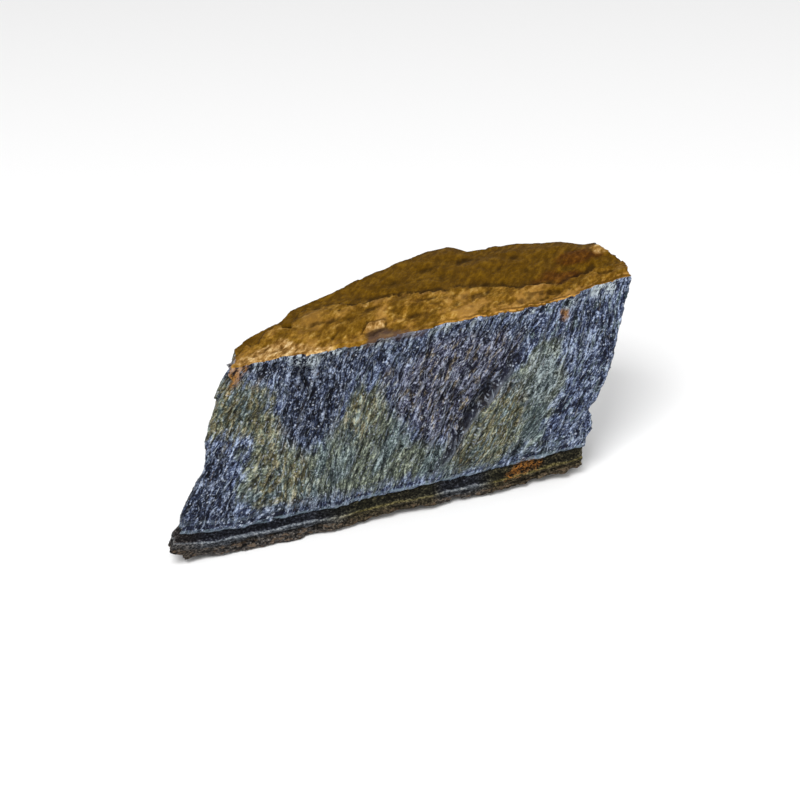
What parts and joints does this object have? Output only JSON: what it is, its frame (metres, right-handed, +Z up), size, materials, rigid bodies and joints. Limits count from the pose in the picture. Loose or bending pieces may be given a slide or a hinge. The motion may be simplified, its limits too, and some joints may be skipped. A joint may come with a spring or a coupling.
{
  "type": "rough tigers eye stone",
  "caption": "Rough broken piece of tigers eye: a fibrous blue-grey slab with a golden limonite crust on top and thin dark ironstone layers at its base.",
  "frame": {"origin": "centre of the bounding box, on the surface that the stone stands on", "axes": "+X along the long front face, +Y into the stone from the front face to the back, +Z up across the seam from the ironstone base to the golden crust"},
  "size_m": [0.1034, 0.0336, 0.0426],
  "materials": {
    "stone": "rough silky fibres, blue-grey to olive, with a golden-brown crust on top"
  },
  "bodies": {
    "root": {"tigers_eye_stone": "stone"}
  },
  "joints": []
}
